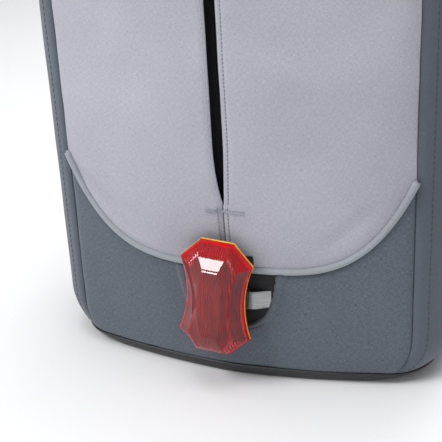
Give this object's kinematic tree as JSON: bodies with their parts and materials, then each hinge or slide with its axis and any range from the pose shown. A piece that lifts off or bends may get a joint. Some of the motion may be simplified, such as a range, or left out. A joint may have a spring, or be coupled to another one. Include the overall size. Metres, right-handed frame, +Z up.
{
  "type": "backpack",
  "caption": "Soft snow-sports day backpack with a clamshell flap, front slit pocket, padded straps and a clip-on red safety light.",
  "frame": {"origin": "middle of the flat base, on the ground", "axes": "+X to the wearer's right side of the pack as seen from the front, +Y towards the wearer's back, +Z up"},
  "size_m": [0.303, 0.2855, 0.4562],
  "materials": {
    "light_twill": "fine matt twill",
    "heather_fabric": "heathered plain weave",
    "side_fabric": "smooth plain weave",
    "dark_fabric": "dark plain weave",
    "coated_base": "coated, slightly glossy",
    "piping_grey": "satin woven cover over a core",
    "thread_grey": "bar-tacked thread",
    "lining": "thin lining",
    "zip_tape": "woven tape with moulded teeth",
    "padding_mesh": "air mesh over foam",
    "webbing_black": "ribbed webbing",
    "reflective_tape": "silver-grey reflective tape",
    "black_plastic": "moulded acetal",
    "frame_plastic": "stiff translucent sheet",
    "zip_metal": "black painted die-cast",
    "red_lens": "clear red, glossy, prismatic inside",
    "gasket_yellow": "soft yellow-orange seal",
    "black_rubber": "satin",
    "reflector_chrome": "vacuum-metallised",
    "board_green": "circuit board",
    "led_clear": "clear red-white LED",
    "steel": "plain"
  },
  "bodies": {
    "pack": {"base_panel": "coated_base", "base_foam": "lining", "rear_gusset": "dark_fabric", "main_zip_rear": "zip_tape", "back_panel": "dark_fabric", "frame_sheet": "frame_plastic", "laptop_sleeve": "lining", "back_pad_left": "padding_mesh", "back_pad_right": "padding_mesh", "lumbar_pad": "padding_mesh", "strap_yoke": "dark_fabric", "shoulder_strap_left": "padding_mesh", "shoulder_strap_right": "padding_mesh", "sternum_rail_left": "black_plastic", "sternum_rail_right": "black_plastic", "ladder_lock_left": "black_plastic", "ladder_lock_right": "black_plastic", "lower_webbing_left": "webbing_black", "lower_webbing_right": "webbing_black", "handle_tabs": "webbing_black"},
    "flap": {"front_panel_lower": "heather_fabric", "front_piping": "piping_grey", "front_panel_left": "light_twill", "front_panel_right": "light_twill", "bar_tack": "thread_grey", "pocket_liner": "lining", "pocket_zip_tape_left": "zip_tape", "pocket_zip_tape_right": "zip_tape", "window_patch": "dark_fabric", "reflective_loop": "reflective_tape", "flap_gusset": "side_fabric", "main_zip_front": "zip_tape"},
    "pocket_slider": {"pocket_zip_slider": "zip_metal"},
    "pocket_pull": {"pocket_pull_tab": "zip_metal"},
    "light": {"light_case": "black_plastic", "light_gasket": "gasket_yellow", "light_lens": "red_lens", "light_board": "board_green", "light_leds": "led_clear", "light_reflector": "reflector_chrome", "light_cells": "steel", "light_contacts": "steel", "light_screws": "steel", "light_clip": "black_plastic"},
    "light_button": {"light_button": "black_rubber"},
    "sternum": {"sternum_clip_left": "black_plastic", "sternum_clip_right": "black_plastic", "sternum_web_right": "webbing_black", "buckle_socket": "black_plastic"},
    "buckle": {"buckle_prongs": "black_plastic", "sternum_web_left": "webbing_black"},
    "handle": {"haul_handle": "webbing_black"},
    "zip_slider_left": {"main_slider_left": "zip_metal"},
    "zip_slider_right": {"main_slider_right": "zip_metal"},
    "zip_pull_left": {"main_pull_left": "zip_metal"},
    "zip_pull_right": {"main_pull_right": "zip_metal"}
  },
  "joints": [
    {"name": "flap_hinge", "type": "hinge", "parent": "pack", "child": "flap", "pos_m": [0, -0.095, 0.00815], "axis": [1, 0, 0], "range_deg": [0, 55]},
    {"name": "main_zip_left", "type": "hinge", "parent": "pack", "child": "zip_slider_left", "pos_m": [0, 0.012, 0.3], "axis": [0, 1, 0], "range_deg": [-70, 0]},
    {"name": "main_zip_right", "type": "hinge", "parent": "pack", "child": "zip_slider_right", "pos_m": [0, 0.012, 0.3], "axis": [0, 1, 0], "range_deg": [0, 70]},
    {"name": "main_pull_left_swing", "type": "hinge", "parent": "zip_slider_left", "child": "zip_pull_left", "pos_m": [-0.02455, 0.012, 0.45445], "axis": [0, 1, 0], "range_deg": [0, 120]},
    {"name": "main_pull_right_swing", "type": "hinge", "parent": "zip_slider_right", "child": "zip_pull_right", "pos_m": [0.02455, 0.012, 0.45445], "axis": [0, -1, 0], "range_deg": [0, 120]},
    {"name": "pocket_zip", "type": "slide", "parent": "flap", "child": "pocket_slider", "axis": [0, 0, 1], "range_m": [-0.155, 0]},
    {"name": "pocket_pull_swing", "type": "hinge", "parent": "pocket_slider", "child": "pocket_pull", "pos_m": [0, -0.0965, 0.326], "axis": [-1, 0, 0], "range_deg": [0, 100]},
    {"name": "light_swivel", "type": "hinge", "parent": "flap", "child": "light", "pos_m": [-0.0056, -0.1, 0.07], "axis": [0, 1, 0], "range_deg": [-14, 5]},
    {"name": "light_press", "type": "slide", "parent": "light", "child": "light_button", "axis": [-0.9969, 0, 0.0785], "range_m": [0, 0.0012], "stiffness_N_per_m": 400},
    {"name": "sternum_slide", "type": "slide", "parent": "pack", "child": "sternum", "axis": [0, 0, 1], "range_m": [-0.04, 0.045]},
    {"name": "buckle_release", "type": "slide", "parent": "sternum", "child": "buckle", "axis": [-1, 0, 0], "range_m": [0, 0.026]},
    {"name": "handle_swing", "type": "hinge", "parent": "pack", "child": "handle", "pos_m": [0, 0.0838, 0.44], "axis": [1, 0, 0], "range_deg": [0, 170]}
  ]
}
